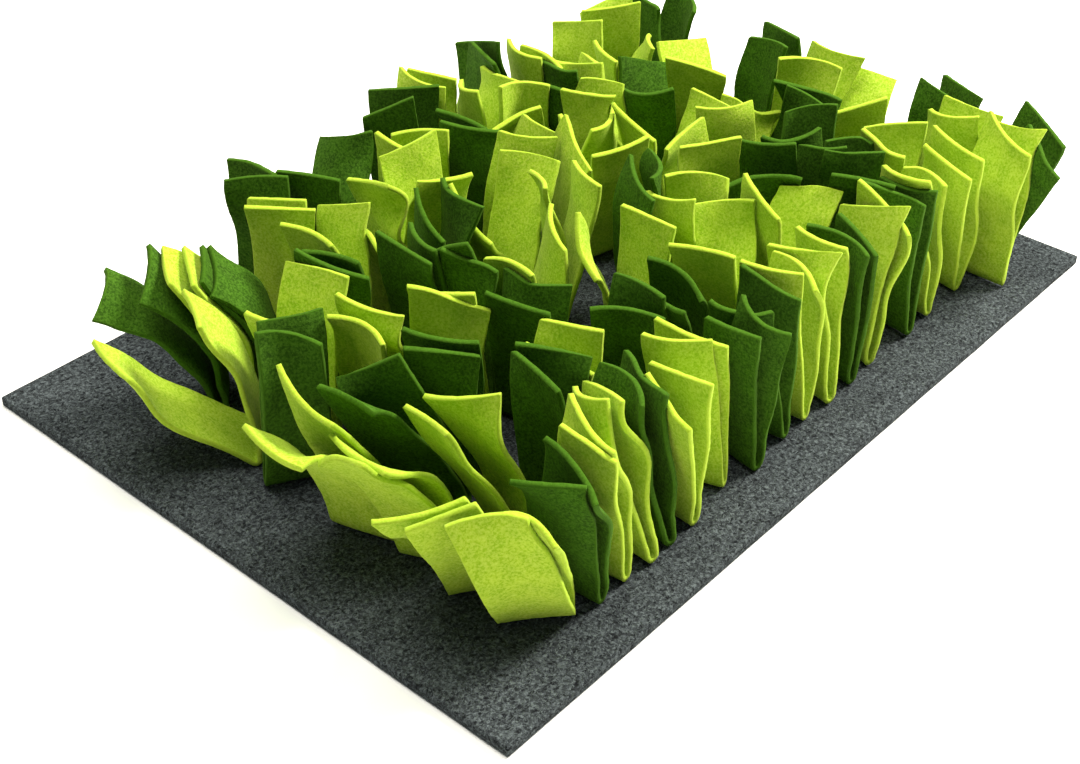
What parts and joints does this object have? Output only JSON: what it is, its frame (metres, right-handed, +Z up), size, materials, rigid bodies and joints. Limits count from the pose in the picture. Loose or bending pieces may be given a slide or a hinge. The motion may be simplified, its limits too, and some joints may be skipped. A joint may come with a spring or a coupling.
{
  "type": "snuffle mat",
  "caption": "Flat felt mat covered by a dense pile of folded fleece strips, in whose gaps treats are hidden for a dog to sniff out.",
  "frame": {"origin": "middle of the base's underside", "axes": "+X along the base's long side, +Y along its short side, +Z up through the pile"},
  "size_m": [0.5, 0.35, 0.0976],
  "materials": {
    "base_felt": "pressed needle felt, dark grey with lighter and darker fibres",
    "lime_fleece": "thick napped fleece, lime green",
    "green_fleece": "thick napped fleece, dark green"
  },
  "bodies": {
    "root": {"base_felt": "base_felt", "strip_01": "lime_fleece", "strip_02": "lime_fleece", "strip_03": "green_fleece", "strip_04": "lime_fleece", "strip_05": "lime_fleece", "strip_06": "green_fleece", "strip_07": "lime_fleece", "strip_08": "lime_fleece", "strip_09": "green_fleece", "strip_10": "green_fleece", "strip_11": "lime_fleece", "strip_12": "lime_fleece", "strip_13": "green_fleece", "strip_14": "lime_fleece", "strip_15": "green_fleece", "strip_16": "lime_fleece", "strip_17": "lime_fleece", "strip_18": "green_fleece", "strip_19": "lime_fleece", "strip_20": "green_fleece", "strip_21": "lime_fleece", "strip_22": "green_fleece", "strip_23": "lime_fleece", "strip_24": "green_fleece", "strip_25": "lime_fleece", "strip_26": "lime_fleece", "strip_27": "green_fleece", "strip_28": "lime_fleece", "strip_29": "lime_fleece", "strip_30": "green_fleece", "strip_31": "green_fleece", "strip_32": "lime_fleece", "strip_33": "lime_fleece", "strip_34": "green_fleece", "strip_35": "green_fleece", "strip_36": "lime_fleece", "strip_37": "green_fleece", "strip_38": "green_fleece", "strip_39": "green_fleece", "strip_40": "lime_fleece", "strip_41": "green_fleece", "strip_42": "lime_fleece", "strip_43": "green_fleece", "strip_44": "lime_fleece", "strip_45": "lime_fleece", "strip_46": "lime_fleece", "strip_47": "lime_fleece", "strip_48": "green_fleece", "strip_49": "lime_fleece", "strip_50": "lime_fleece", "strip_51": "lime_fleece", "strip_52": "green_fleece", "strip_53": "lime_fleece", "strip_54": "green_fleece", "strip_55": "lime_fleece", "strip_56": "lime_fleece", "strip_57": "lime_fleece", "strip_58": "lime_fleece", "strip_59": "lime_fleece"}
  },
  "joints": []
}
